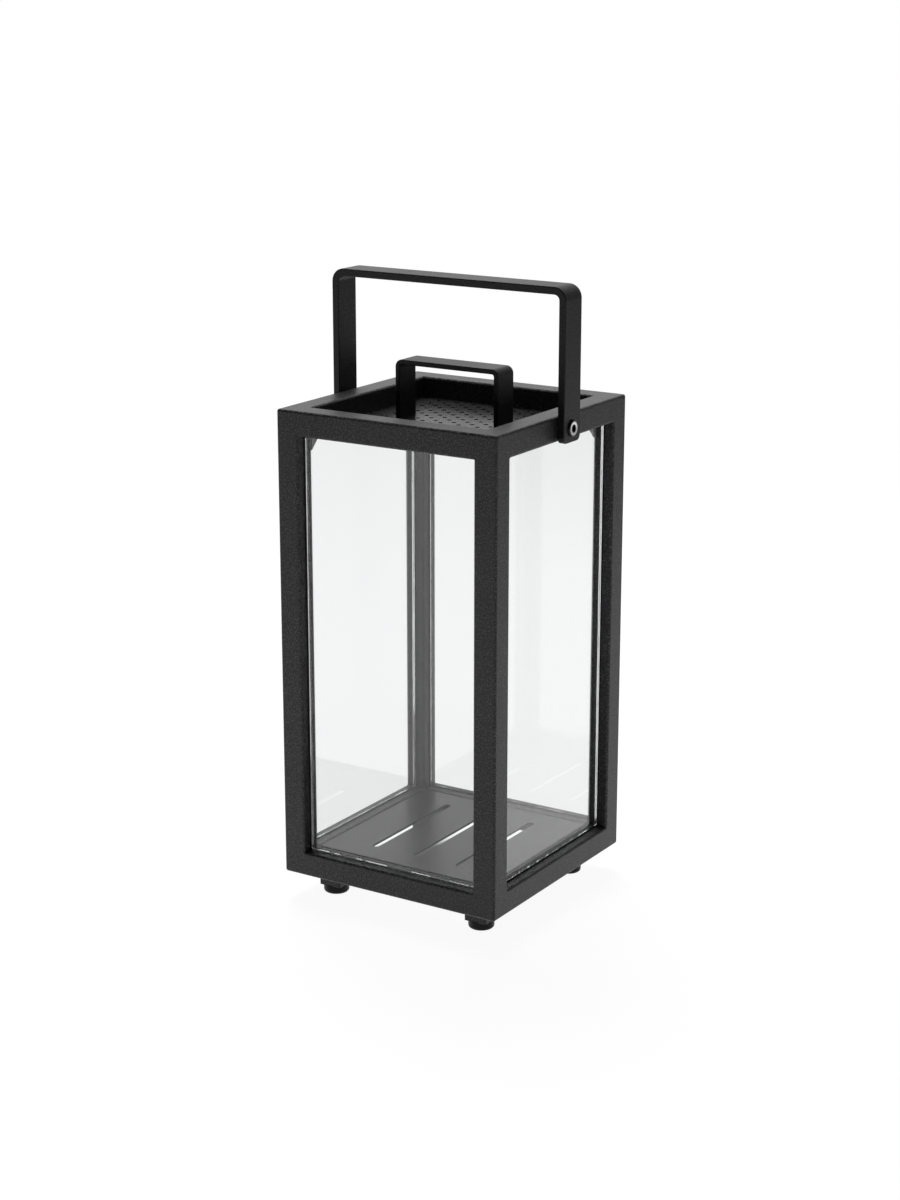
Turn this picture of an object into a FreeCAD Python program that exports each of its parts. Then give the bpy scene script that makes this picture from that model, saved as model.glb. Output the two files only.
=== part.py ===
import FreeCAD, Part

import math
import os

# A square table lantern: a welded frame of square tube, four glass panes bedded in clear
# sealant, a slotted floor plate, a lift-out perforated lid with a strap handle, a carrying
# bail that swings on two screws, and four tube stubs with pushed-in rubber feet.
#
# Millimetres. X runs along the front, Y from the front (-Y) to the back, Z up.
# The origin is the middle of the standing plane, under the rubber feet.

os.makedirs("parts", exist_ok=True)

# ---------------------------------------------------------------- frame
FRAME_WIDTH = 200.0          # outside, along X
FRAME_DEPTH = 200.0          # outside, along Y
FRAME_HEIGHT = 384.0         # underside of the bottom rails to the top of the top rails
TUBE_SIZE = 20.0             # square tube, outside
TUBE_WALL = 1.5
TUBE_EDGE_RADIUS = 2.0       # rounding along the tube's long edges

# ---------------------------------------------------------------- glazing
PANE_THICKNESS = 3.0
PANE_EDGE_GAP = 1.0          # pane's edge to the tube, filled with sealant
SEAL_LAP = 1.0               # how far the bead climbs over the pane's face
SEAL_SIDE = 1.5              # how far the bead stands out beside the pane
SEAL_SLOPE = 1.2             # bevel along the bead's free edge

# ---------------------------------------------------------------- floor plate
FLOOR_THICKNESS = 2.0
FLOOR_EDGE_GAP = 0.8         # seam between the floor plate and the bottom rails
FLOOR_CORNER_RADIUS = 2.0
SLOT_COUNT = 3
SLOT_SPACING = 40.0
SLOT_LENGTH = 114.0
SLOT_WIDTH = 6.0

# ---------------------------------------------------------------- feet
STUB_SIZE = 20.0             # square tube stub welded into each inner corner
STUB_WALL = 1.5
STUB_EDGE_RADIUS = 1.5
STUB_DROP = 14.0             # how far the stub hangs below the bottom rails
FOOT_DIAMETER = 21.0
FOOT_HEIGHT = 7.0
FOOT_EDGE_RADIUS = 2.5
FOOT_SPIGOT_LENGTH = 10.0    # the part of the foot that is pushed up into the stub

# ---------------------------------------------------------------- lid
LID_THICKNESS = 3.0
LID_EDGE_GAP = 1.0           # lid's edge to the top rails
LID_CORNER_RADIUS = 2.0
HOLE_DIAMETER = 4.0
HOLE_COLUMN_STEP = 8.5       # staggered pattern: column to column
HOLE_ROW_STEP = 6.5          # and half-row to half-row
HOLE_MARGIN_X = 17.0         # solid border at the lid's left and right edges
HOLE_MARGIN_Y = 5.0          # and at its front and back edges
HOLE_LAND = 0.5              # least metal between a hole and the handle's end

BRACKET_LEG = 14.0           # lid bracket: legs of its triangular web
BRACKET_THICKNESS = 3.0
BRACKET_REACH = 9.0          # how far its shelf reaches in under the lid
BRACKET_CLIP = 4.0           # corner clipped off the shelf

# ---------------------------------------------------------------- lid handle
HANDLE_SPAN = 95.0           # outside, along X
HANDLE_RISE = 31.0           # above the top rails
HANDLE_STRAP_WIDTH = 24.0
HANDLE_STRAP_THICKNESS = 4.0
HANDLE_BEND_RADIUS = 2.0     # inside of the bend

# ---------------------------------------------------------------- carrying bail
BAIL_STRAP_WIDTH = 25.0
BAIL_STRAP_THICKNESS = 6.0
BAIL_BEND_RADIUS = 4.5       # inside of the bend
BAIL_RISE = 99.0             # above the top rails
BAIL_TAIL = 11.0             # strap below the pivot
BAIL_TAIL_RADIUS = 4.5       # rounding of the strap's free corners
PIVOT_DROP = 10.0            # pivot below the top of the frame
STRAP_EDGE_RADIUS = 0.8      # softened edges of the bail and of the lid handle

# ---------------------------------------------------------------- pivot screws and nuts
SCREW_DIAMETER = 8.0
SCREW_LENGTH = 20.0
SCREW_TIP_CHAMFER = 1.0
SCREW_HEAD_DIAMETER = 13.6
SCREW_HEAD_HEIGHT = 1.4
SCREW_HEAD_FLAT_DIAMETER = 10.8  # flat ring round the socket
SCREW_HEAD_RIM = 0.3             # straight edge under the rounded shoulder
SOCKET_ACROSS_FLATS = 5.0
SOCKET_DEPTH = 3.0
SOCKET_MOUTH_BEVEL = 0.4         # bevel that leads the key into the socket
NUT_BODY_DIAMETER = 11.0
NUT_LENGTH = 15.0
NUT_FLANGE_DIAMETER = 15.0
NUT_FLANGE_THICKNESS = 1.0
NUT_BULGE_DIAMETER = 14.5
NUT_BULGE_LENGTH = 3.0
PIVOT_RADIAL_CLEARANCE = 0.05
PIVOT_SIDE_CLEARANCE = 0.1

# ---------------------------------------------------------------- drawing constants
CLOSE = 1e-6                 # lengths nearer than this are taken as equal
CREASE_ANGLE = 30.0          # degrees between two faces, from which their edge is sharp
FULL_TURN = 360.0
QUARTER_TURN = 90.0
HEXAGON_SIDES = 6

# ---------------------------------------------------------------- derived levels
FRAME_BASE = FOOT_HEIGHT + STUB_DROP
FRAME_TOP = FRAME_BASE + FRAME_HEIGHT
WINDOW_BASE = FRAME_BASE + TUBE_SIZE
WINDOW_TOP = FRAME_TOP - TUBE_SIZE
LID_TOP = WINDOW_TOP + LID_THICKNESS
PIVOT_LEVEL = FRAME_TOP - PIVOT_DROP

HALF_WIDTH = FRAME_WIDTH / 2
HALF_DEPTH = FRAME_DEPTH / 2
INNER_HALF_WIDTH = HALF_WIDTH - TUBE_SIZE
INNER_HALF_DEPTH = HALF_DEPTH - TUBE_SIZE


# ================================================================ shape helpers
def vector(x, y, z):
    return FreeCAD.Vector(x, y, z)


def box(x_range, y_range, z_range):
    """A block between two limits on each axis."""
    low = vector(min(x_range), min(y_range), min(z_range))
    high = vector(max(x_range), max(y_range), max(z_range))
    size = high - low
    return Part.makeBox(size.x, size.y, size.z, low)


def around(middle, size):
    """The two limits of a size laid evenly about a middle."""
    return (middle - size / 2, middle + size / 2)


def edges_along(shape, axis):
    """The straight edges of a shape that run along one axis (0, 1 or 2)."""
    found = []
    for edge in shape.Edges:
        if len(edge.Vertexes) != 2 or not isinstance(edge.Curve, Part.Line):
            continue
        direction = edge.Curve.Direction
        if abs(abs(direction[axis]) - 1) < CLOSE:
            found.append(edge)
    return found


def normal_at(face, point):
    """The outward normal of a face where it passes a point."""
    u, v = face.Surface.parameter(point)
    return face.normalAt(u, v)


def sharp_edges(shape):
    """The edges where two faces meet at a crease, not the ones where one runs on smoothly."""
    found = []
    for edge in shape.Edges:
        faces = shape.ancestorsOfType(edge, Part.Face)
        if len(faces) != 2:
            continue
        first, last = edge.ParameterRange
        middle = edge.valueAt((first + last) / 2)
        between = normal_at(faces[0], middle).getAngle(normal_at(faces[1], middle))
        if math.degrees(between) > CREASE_ANGLE:
            found.append(edge)
    return found


def rounded_bar(x_range, y_range, z_range, axis, radius):
    """A block with its four edges along one axis rounded."""
    block = box(x_range, y_range, z_range)
    return block.makeFillet(radius, edges_along(block, axis))


def plan_prism(points, z_range):
    """A prism over a plan outline given as (x, y) corners."""
    corners = [vector(x, y, min(z_range)) for x, y in points]
    outline = Part.makePolygon(corners + corners[:1])
    return Part.Face(outline).extrude(vector(0, 0, max(z_range) - min(z_range)))


def rounded_rectangle(half_x, half_y, radius, level):
    """A closed outline in plan with rounded corners, centred on the axis."""
    flat = box((-half_x, half_x), (-half_y, half_y), (level, level + 1))
    soft = flat.makeFillet(radius, edges_along(flat, 2))
    lowest = min(soft.Faces, key=lambda face: face.CenterOfMass.z)
    return lowest.OuterWire


def circle_wire(x, y, z, radius):
    return Part.Wire([Part.makeCircle(radius, vector(x, y, z))])


def quarter_turns(shape, turns):
    """A copy turned about the vertical axis by quarter turns."""
    copy = shape.copy()
    copy.rotate(vector(0, 0, 0), vector(0, 0, 1), QUARTER_TURN * turns)
    return copy


def save(name, shape):
    """Writes one piece and stops if it isn't sound."""
    if not shape.isValid() or shape.Volume <= 0:
        raise ValueError(name + " is not a sound solid")
    shape.exportStep("parts/" + name + ".step")


def one_solid(shape):
    """The single solid inside a compound that a cut left behind."""
    return shape.Solids[0] if len(shape.Solids) == 1 else shape


# ================================================================ welded tube frame
# The twelve tubes are drawn as one ground and blended weldment, so that no groove is left
# where they meet, and the weldment is then parted along its weld lines: the corner mitres
# of the top and bottom rings, and the butts at both ends of each post.
CORNERS = {
    "front_left": (-1, -1),
    "front_right": (1, -1),
    "back_right": (1, 1),
    "back_left": (-1, 1),
}
SIDES = ("front", "right", "back", "left")


def tube_range(side, half):
    """Where a tube lies across its length, on the low (-1) or high (1) side."""
    return (side * (half - TUBE_SIZE), side * half)


def weldment():
    """All twelve tubes as one solid with every outer edge rounded."""
    whole_x = (-HALF_WIDTH, HALF_WIDTH)
    whole_y = (-HALF_DEPTH, HALF_DEPTH)
    whole_z = (FRAME_BASE, FRAME_TOP)
    levels = ((FRAME_BASE, WINDOW_BASE), (WINDOW_TOP, FRAME_TOP))
    bars = []
    for side_x, side_y in CORNERS.values():
        x_range = tube_range(side_x, HALF_WIDTH)
        y_range = tube_range(side_y, HALF_DEPTH)
        bars.append(rounded_bar(x_range, y_range, whole_z, 2, TUBE_EDGE_RADIUS))
    for level in levels:
        for side in (-1, 1):
            across_y = tube_range(side, HALF_DEPTH)
            across_x = tube_range(side, HALF_WIDTH)
            bars.append(rounded_bar(whole_x, across_y, level, 0, TUBE_EDGE_RADIUS))
            bars.append(rounded_bar(across_x, whole_y, level, 1, TUBE_EDGE_RADIUS))
    joined = bars[0].fuse(bars[1:])
    envelope = box(whole_x, whole_y, whole_z)
    envelope = envelope.makeFillet(TUBE_EDGE_RADIUS, envelope.Edges)
    return joined.common(envelope).removeSplitter()


def mitre_plan(side):
    """The plan of one mitred rail of a ring: a trapezium with 45 degree ends."""
    outer = ((-HALF_WIDTH, -HALF_DEPTH), (HALF_WIDTH, -HALF_DEPTH),
             (HALF_WIDTH, HALF_DEPTH), (-HALF_WIDTH, HALF_DEPTH))
    inner = ((-INNER_HALF_WIDTH, -INNER_HALF_DEPTH), (INNER_HALF_WIDTH, -INNER_HALF_DEPTH),
             (INNER_HALF_WIDTH, INNER_HALF_DEPTH), (-INNER_HALF_WIDTH, INNER_HALF_DEPTH))
    start = SIDES.index(side)
    end = (start + 1) % len(SIDES)
    return (outer[start], outer[end], inner[end], inner[start])


def rail_bore(side, z_range):
    """The hollow inside one rail, running to the far walls of the corner tubes."""
    z_inside = (min(z_range) + TUBE_WALL, max(z_range) - TUBE_WALL)
    long_x = (-HALF_WIDTH + TUBE_WALL, HALF_WIDTH - TUBE_WALL)
    long_y = (-HALF_DEPTH + TUBE_WALL, HALF_DEPTH - TUBE_WALL)
    sign = -1 if side in ("front", "left") else 1
    if side in ("front", "back"):
        across = (sign * (INNER_HALF_DEPTH + TUBE_WALL), sign * (HALF_DEPTH - TUBE_WALL))
        return box(long_x, across, z_inside)
    across = (sign * (INNER_HALF_WIDTH + TUBE_WALL), sign * (HALF_WIDTH - TUBE_WALL))
    return box(across, long_y, z_inside)


def nut_hole(side_x):
    """The round hole through the outer wall of a side rail, for the pivot's nut."""
    start = vector(side_x * HALF_WIDTH, 0, PIVOT_LEVEL)
    inward = vector(-side_x, 0, 0)
    return Part.makeCylinder(NUT_BODY_DIAMETER / 2, TUBE_WALL, start, inward)


def build_frame():
    whole = weldment()
    for level_name, z_range in (("bottom", (FRAME_BASE, WINDOW_BASE)),
                                ("top", (WINDOW_TOP, FRAME_TOP))):
        for side in SIDES:
            rail = whole.common(plan_prism(mitre_plan(side), z_range))
            rail = rail.cut(rail_bore(side, z_range))
            if level_name == "top" and side in ("left", "right"):
                rail = rail.cut(nut_hole(-1 if side == "left" else 1))
            save(level_name + "_rail_" + side, one_solid(rail))
    for corner, (side_x, side_y) in CORNERS.items():
        x_range = tube_range(side_x, HALF_WIDTH)
        y_range = tube_range(side_y, HALF_DEPTH)
        z_range = (WINDOW_BASE, WINDOW_TOP)
        post = whole.common(box(x_range, y_range, z_range))
        bore = TUBE_SIZE - 2 * TUBE_WALL
        hollow_x = around(sum(x_range) / 2, bore)
        hollow_y = around(sum(y_range) / 2, bore)
        post = post.cut(box(hollow_x, hollow_y, z_range))
        save("post_" + corner, one_solid(post))


# ================================================================ glass and sealant
def glazing(half_opening, half_frame):
    """One pane and its bead, drawn for a front opening."""
    middle = -(half_frame - TUBE_SIZE / 2)
    opening_x = (-half_opening, half_opening)
    opening_z = (WINDOW_BASE, WINDOW_TOP)
    pane_half = half_opening - PANE_EDGE_GAP
    pane = box((-pane_half, pane_half), around(middle, PANE_THICKNESS),
               (WINDOW_BASE + PANE_EDGE_GAP, WINDOW_TOP - PANE_EDGE_GAP))
    bead_height = PANE_EDGE_GAP + SEAL_LAP
    bead_width = PANE_THICKNESS + 2 * SEAL_SIDE
    hole_half = half_opening - bead_height
    hole_z = (WINDOW_BASE + bead_height, WINDOW_TOP - bead_height)
    bead = box(opening_x, around(middle, bead_width), opening_z)
    bead = bead.cut(box((-hole_half, hole_half), around(middle, bead_width), hole_z))
    rim_edges = []
    for edge in bead.Edges:
        centre = edge.CenterOfMass
        if abs(edge.Vertexes[0].Y - edge.Vertexes[-1].Y) > CLOSE:
            continue
        inside_x = abs(centre.x) < hole_half + CLOSE
        inside_z = min(hole_z) - CLOSE < centre.z < max(hole_z) + CLOSE
        if inside_x and inside_z:
            rim_edges.append(edge)
    bead = bead.makeChamfer(SEAL_SLOPE, rim_edges)
    return pane, bead.cut(pane)


def build_glazing():
    wide = glazing(INNER_HALF_WIDTH, HALF_DEPTH)
    deep = glazing(INNER_HALF_DEPTH, HALF_WIDTH)
    for turns, side in enumerate(SIDES):
        pane, bead = wide if side in ("front", "back") else deep
        save("pane_" + side, quarter_turns(pane, turns))
        save("pane_seal_" + side, quarter_turns(bead, turns))


# ================================================================ floor plate
def slot_wire(x, level):
    """One long slot with round ends, running front to back."""
    radius = SLOT_WIDTH / 2
    reach = SLOT_LENGTH / 2 - radius
    back = Part.Arc(vector(x + radius, reach, level), vector(x, reach + radius, level),
                    vector(x - radius, reach, level))
    front = Part.Arc(vector(x - radius, -reach, level), vector(x, -reach - radius, level),
                     vector(x + radius, -reach, level))
    left = Part.LineSegment(vector(x - radius, reach, level), vector(x - radius, -reach, level))
    right = Part.LineSegment(vector(x + radius, -reach, level), vector(x + radius, reach, level))
    return Part.Wire([back.toShape(), left.toShape(), front.toShape(), right.toShape()])


def build_floor():
    level = WINDOW_BASE - FLOOR_THICKNESS
    outline = rounded_rectangle(INNER_HALF_WIDTH - FLOOR_EDGE_GAP,
                                INNER_HALF_DEPTH - FLOOR_EDGE_GAP, FLOOR_CORNER_RADIUS, level)
    first = -(SLOT_COUNT - 1) / 2
    slots = [slot_wire((first + index) * SLOT_SPACING, level) for index in range(SLOT_COUNT)]
    plate = Part.Face(outline).cut([Part.Face(slot) for slot in slots])
    save("floor_plate", one_solid(plate.extrude(vector(0, 0, FLOOR_THICKNESS))))


# ================================================================ feet
def build_feet():
    """A tube stub in each inner corner, and the rubber foot pushed up into it."""
    bore = STUB_SIZE - 2 * STUB_WALL
    stub_z = (FOOT_HEIGHT, WINDOW_BASE - FLOOR_THICKNESS)
    for corner, (side_x, side_y) in CORNERS.items():
        x = side_x * (INNER_HALF_WIDTH - STUB_SIZE / 2)
        y = side_y * (INNER_HALF_DEPTH - STUB_SIZE / 2)
        stub = rounded_bar(around(x, STUB_SIZE), around(y, STUB_SIZE), stub_z, 2,
                           STUB_EDGE_RADIUS)
        stub = stub.cut(box(around(x, bore), around(y, bore), stub_z))
        save("foot_stub_" + corner, one_solid(stub))
        pad = Part.makeCylinder(FOOT_DIAMETER / 2, FOOT_HEIGHT, vector(x, y, 0))
        lower_rim = [edge for edge in pad.Edges
                     if isinstance(edge.Curve, Part.Circle) and edge.CenterOfMass.z < CLOSE]
        pad = pad.makeFillet(FOOT_EDGE_RADIUS, lower_rim)
        spigot = box(around(x, bore), around(y, bore),
                     (FOOT_HEIGHT, FOOT_HEIGHT + FOOT_SPIGOT_LENGTH))
        save("rubber_foot_" + corner, one_solid(pad.fuse(spigot).removeSplitter()))


# ================================================================ lid brackets
def lid_bracket():
    """Back right bracket: a triangular web flush with the tubes' inner faces, welded under
    the side rail and against the post, with a shelf turned inwards below the lid."""
    face = INNER_HALF_WIDTH
    corner_y = INNER_HALF_DEPTH
    web_outline = [vector(face, corner_y, WINDOW_TOP),
                   vector(face, corner_y - BRACKET_LEG, WINDOW_TOP),
                   vector(face, corner_y, WINDOW_TOP - BRACKET_LEG)]
    web = Part.Face(Part.makePolygon(web_outline + web_outline[:1]))
    web = web.extrude(vector(BRACKET_THICKNESS, 0, 0))
    inner = face - BRACKET_REACH
    outer = face + BRACKET_THICKNESS
    near = corner_y - BRACKET_LEG
    shelf_plan = ((outer, corner_y), (inner, corner_y), (inner, near + BRACKET_CLIP),
                  (inner + BRACKET_CLIP, near), (outer, near))
    shelf = plan_prism(shelf_plan, (WINDOW_TOP - BRACKET_THICKNESS, WINDOW_TOP))
    slope = box((inner, outer), (near - BRACKET_LEG, corner_y),
                (WINDOW_TOP - BRACKET_LEG, WINDOW_TOP))
    return web.fuse(shelf).common(slope).removeSplitter()


def build_lid_brackets():
    pattern = lid_bracket()
    for corner, (side_x, side_y) in CORNERS.items():
        bracket = pattern.copy()
        if side_x < 0:
            bracket = bracket.mirror(vector(0, 0, 0), vector(1, 0, 0))
        if side_y < 0:
            bracket = bracket.mirror(vector(0, 0, 0), vector(0, 1, 0))
        save("lid_bracket_" + corner, one_solid(bracket))


# ================================================================ lid and its handle
def handle_covers(x, y):
    """True where a hole would break into the welded end of the handle's strap."""
    reach = HOLE_DIAMETER / 2 + HOLE_LAND
    strap_middle = (HANDLE_SPAN - HANDLE_STRAP_THICKNESS) / 2
    near_x = abs(abs(x) - strap_middle) < HANDLE_STRAP_THICKNESS / 2 + reach
    near_y = abs(y) < HANDLE_STRAP_WIDTH / 2 + reach
    return near_x and near_y


def build_lid():
    level = WINDOW_TOP
    half_x = INNER_HALF_WIDTH - LID_EDGE_GAP
    half_y = INNER_HALF_DEPTH - LID_EDGE_GAP
    plate = Part.Face(rounded_rectangle(half_x, half_y, LID_CORNER_RADIUS, level))
    radius = HOLE_DIAMETER / 2
    columns = int((half_x - HOLE_MARGIN_X - radius) / HOLE_COLUMN_STEP)
    rows = int((half_y - HOLE_MARGIN_Y - radius) / HOLE_ROW_STEP)
    holes = []
    for column in range(-columns, columns + 1):
        for row in range(-rows, rows + 1):
            if (column + row) % 2:
                continue
            x = column * HOLE_COLUMN_STEP
            y = row * HOLE_ROW_STEP
            if not handle_covers(x, y):
                holes.append(Part.Face(circle_wire(x, y, level, radius)))
    plate = plate.cut(holes)
    save("lid_plate", one_solid(plate.extrude(vector(0, 0, LID_THICKNESS))))


def strap_arch(half_span, base, top, thickness, inner_radius, width):
    """A flat strap bent into an upright U, as a profile in XZ carried across Y."""
    outer_radius = inner_radius + thickness

    def side_outline(half, height, radius):
        """One skin of the strap, from the left foot over the top to the right foot."""
        bend = radius * (1 - math.cos(math.pi / 4))
        points = {
            "left_foot": vector(-half, 0, base),
            "left_low": vector(-half, 0, height - radius),
            "left_mid": vector(-half + bend, 0, height - bend),
            "left_high": vector(-half + radius, 0, height),
            "right_high": vector(half - radius, 0, height),
            "right_mid": vector(half - bend, 0, height - bend),
            "right_low": vector(half, 0, height - radius),
            "right_foot": vector(half, 0, base),
        }
        return points

    outer = side_outline(half_span, top, outer_radius)
    inner = side_outline(half_span - thickness, top - thickness, inner_radius)
    edges = []
    for skin in (outer, inner):
        edges.append(Part.LineSegment(skin["left_foot"], skin["left_low"]).toShape())
        edges.append(Part.Arc(skin["left_low"], skin["left_mid"], skin["left_high"]).toShape())
        edges.append(Part.LineSegment(skin["left_high"], skin["right_high"]).toShape())
        edges.append(Part.Arc(skin["right_high"], skin["right_mid"], skin["right_low"]).toShape())
        edges.append(Part.LineSegment(skin["right_low"], skin["right_foot"]).toShape())
    edges.append(Part.LineSegment(outer["left_foot"], inner["left_foot"]).toShape())
    edges.append(Part.LineSegment(outer["right_foot"], inner["right_foot"]).toShape())
    outline = Part.Wire(Part.__sortEdges__(edges))
    arch = Part.Face(outline).extrude(vector(0, width, 0))
    arch.translate(vector(0, -width / 2, 0))
    return arch


def build_lid_handle():
    handle = strap_arch(HANDLE_SPAN / 2, LID_TOP, FRAME_TOP + HANDLE_RISE,
                        HANDLE_STRAP_THICKNESS, HANDLE_BEND_RADIUS, HANDLE_STRAP_WIDTH)
    free_edges = [edge for edge in sharp_edges(handle)
                  if edge.CenterOfMass.z > LID_TOP + CLOSE]
    handle = handle.makeFillet(STRAP_EDGE_RADIUS, free_edges)
    save("lid_handle", one_solid(handle))


# ================================================================ carrying bail
BAIL_INNER_HALF = HALF_WIDTH + NUT_FLANGE_THICKNESS + PIVOT_SIDE_CLEARANCE
BAIL_OUTER_HALF = BAIL_INNER_HALF + BAIL_STRAP_THICKNESS
SCREW_SEAT = BAIL_OUTER_HALF + PIVOT_SIDE_CLEARANCE


def build_bail():
    foot = PIVOT_LEVEL - BAIL_TAIL
    bail = strap_arch(BAIL_OUTER_HALF, foot, FRAME_TOP + BAIL_RISE,
                      BAIL_STRAP_THICKNESS, BAIL_BEND_RADIUS, BAIL_STRAP_WIDTH)
    foot_corners = [edge for edge in edges_along(bail, 0)
                    if abs(edge.CenterOfMass.z - foot) < CLOSE]
    bail = bail.makeFillet(BAIL_TAIL_RADIUS, foot_corners)
    bail = bail.makeFillet(STRAP_EDGE_RADIUS, sharp_edges(bail))
    hole_radius = SCREW_DIAMETER / 2 + PIVOT_RADIAL_CLEARANCE
    for side_x in (-1, 1):
        start = vector(side_x * BAIL_INNER_HALF, 0, PIVOT_LEVEL)
        hole = Part.makeCylinder(hole_radius, BAIL_STRAP_THICKNESS, start, vector(side_x, 0, 0))
        bail = bail.cut(hole)
    save("carrying_bail", one_solid(bail))


# ================================================================ pivot screws and nuts
def turned(profile, seat):
    """A solid of revolution about +X from (distance along X, radius) corners. An entry with
    four numbers is a round corner: a point on the arc, then its end."""
    def place(along, radius):
        return vector(seat + along, 0, PIVOT_LEVEL + radius)
    edges = []
    here = place(*profile[0])
    for entry in profile[1:]:
        there = place(*entry[-2:])
        if len(entry) == 4:
            edges.append(Part.Arc(here, place(*entry[:2]), there).toShape())
        else:
            edges.append(Part.LineSegment(here, there).toShape())
        here = there
    edges.append(Part.LineSegment(here, place(*profile[0])).toShape())
    face = Part.Face(Part.Wire(edges))
    return face.revolve(vector(seat, 0, PIVOT_LEVEL), vector(1, 0, 0), FULL_TURN)


def pivot_screw():
    """Right-hand flat head connector screw with a hexagon socket; the head sits at SCREW_SEAT."""
    head = SCREW_HEAD_DIAMETER / 2
    flat = SCREW_HEAD_FLAT_DIAMETER / 2
    shank = SCREW_DIAMETER / 2
    crown = SCREW_HEAD_HEIGHT
    dome_along = SCREW_HEAD_RIM + (crown - SCREW_HEAD_RIM) * math.sin(math.pi / 4)
    dome_radius = flat + (head - flat) * math.cos(math.pi / 4)
    profile = [(-SCREW_LENGTH, 0), (-SCREW_LENGTH, shank - SCREW_TIP_CHAMFER),
               (-SCREW_LENGTH + SCREW_TIP_CHAMFER, shank), (0, shank), (0, head),
               (SCREW_HEAD_RIM, head), (dome_along, dome_radius, crown, flat), (crown, 0)]
    screw = turned(profile, SCREW_SEAT)
    corner_radius = SOCKET_ACROSS_FLATS / math.sqrt(3)
    mouth = SCREW_SEAT + crown
    corners = []
    for index in range(HEXAGON_SIDES):
        angle = math.radians(FULL_TURN / HEXAGON_SIDES * index)
        corners.append(vector(mouth - SOCKET_DEPTH, corner_radius * math.cos(angle),
                              PIVOT_LEVEL + corner_radius * math.sin(angle)))
    socket = Part.Face(Part.makePolygon(corners + corners[:1]))
    bevel = Part.makeCone(corner_radius, corner_radius + SOCKET_MOUTH_BEVEL, SOCKET_MOUTH_BEVEL,
                          vector(mouth - SOCKET_MOUTH_BEVEL, 0, PIVOT_LEVEL), vector(1, 0, 0))
    return screw.cut([socket.extrude(vector(SOCKET_DEPTH, 0, 0)), bevel])


def rivet_nut():
    """Right-hand rivet nut: a flange outside the rail, the set bulge just inside its wall."""
    bore = SCREW_DIAMETER / 2
    body = NUT_BODY_DIAMETER / 2
    flange = NUT_FLANGE_DIAMETER / 2
    bulge = NUT_BULGE_DIAMETER / 2
    wall = -TUBE_WALL
    profile = [(NUT_FLANGE_THICKNESS, bore), (NUT_FLANGE_THICKNESS, flange), (0, flange),
               (0, body), (wall, body), (wall, bulge), (wall - NUT_BULGE_LENGTH, bulge),
               (wall - NUT_BULGE_LENGTH, body), (-NUT_LENGTH, body), (-NUT_LENGTH, bore)]
    return turned(profile, HALF_WIDTH)


def build_pivots():
    screw = pivot_screw()
    nut = rivet_nut()
    for side, turns in (("right", 0), ("left", 2)):
        save("pivot_screw_" + side, quarter_turns(screw, turns))
        save("pivot_nut_" + side, quarter_turns(nut, turns))


build_frame()
build_glazing()
build_floor()
build_feet()
build_lid_brackets()
build_lid()
build_lid_handle()
build_bail()
build_pivots()
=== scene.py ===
import math

import bpy
import numpy as np
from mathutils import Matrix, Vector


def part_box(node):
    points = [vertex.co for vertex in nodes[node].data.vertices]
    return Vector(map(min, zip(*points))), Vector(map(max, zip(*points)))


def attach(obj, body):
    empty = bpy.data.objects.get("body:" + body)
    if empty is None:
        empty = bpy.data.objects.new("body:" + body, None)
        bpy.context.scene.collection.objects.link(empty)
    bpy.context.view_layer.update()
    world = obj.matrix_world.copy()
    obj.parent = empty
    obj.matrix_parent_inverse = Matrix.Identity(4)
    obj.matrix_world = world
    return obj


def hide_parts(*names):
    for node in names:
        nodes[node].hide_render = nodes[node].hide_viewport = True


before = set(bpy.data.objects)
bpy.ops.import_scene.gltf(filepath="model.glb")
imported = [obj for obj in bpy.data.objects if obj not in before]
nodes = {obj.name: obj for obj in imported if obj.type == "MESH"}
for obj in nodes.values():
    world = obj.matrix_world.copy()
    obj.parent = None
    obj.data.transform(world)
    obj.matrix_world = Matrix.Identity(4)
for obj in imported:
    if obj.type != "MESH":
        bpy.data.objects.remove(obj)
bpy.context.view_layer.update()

# A square table lantern: welded tube frame, four glass sides bedded in clear sealant, slotted
# floor plate, perforated lift-out lid with its strap handle, carrying bail on two screws and
# rubber feet. Metres. X runs along the front, Y from the front to the back, Z up.
MM = 0.001
SIDES = ("front", "right", "back", "left")
CORNERS = ("front_left", "front_right", "back_right", "back_left")


# ================================================================ camera
VIEW_AZIMUTH = math.radians(32.302)
VIEW_PITCH = math.radians(15.566)
VIEW_DISTANCE = 1.9032
VIEW_SIDESTEP = -3.14 * MM
VIEW_LEVEL = 242.4 * MM
LENS = 70.78
SENSOR = 36.0


def make_camera():
    """Looks down at the lantern from its front right, as the photograph does."""
    back = np.array([math.sin(VIEW_AZIMUTH) * math.cos(VIEW_PITCH),
                     -math.cos(VIEW_AZIMUTH) * math.cos(VIEW_PITCH),
                     math.sin(VIEW_PITCH)])
    right = np.array([math.cos(VIEW_AZIMUTH), math.sin(VIEW_AZIMUTH), 0.0])
    target = VIEW_SIDESTEP * right + np.array([0.0, 0.0, VIEW_LEVEL])
    data = bpy.data.cameras.new("photo_camera")
    data.lens = LENS
    data.sensor_width = SENSOR
    data.sensor_fit = "AUTO"
    data.clip_start = 0.05
    data.clip_end = 50.0
    camera = bpy.data.objects.new("photo_camera", data)
    camera.location = target + back * VIEW_DISTANCE
    camera.rotation_euler = (math.pi / 2 - VIEW_PITCH, 0.0, VIEW_AZIMUTH)
    bpy.context.scene.collection.objects.link(camera)
    bpy.context.scene.camera = camera


make_camera()


# ================================================================ node helpers
def new_material(name):
    """An empty material and its node tree, with the output already in place."""
    material = bpy.data.materials.new(name)
    material.use_nodes = True
    tree = material.node_tree
    tree.nodes.clear()
    output = tree.nodes.new("ShaderNodeOutputMaterial")
    return material, tree, output


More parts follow.
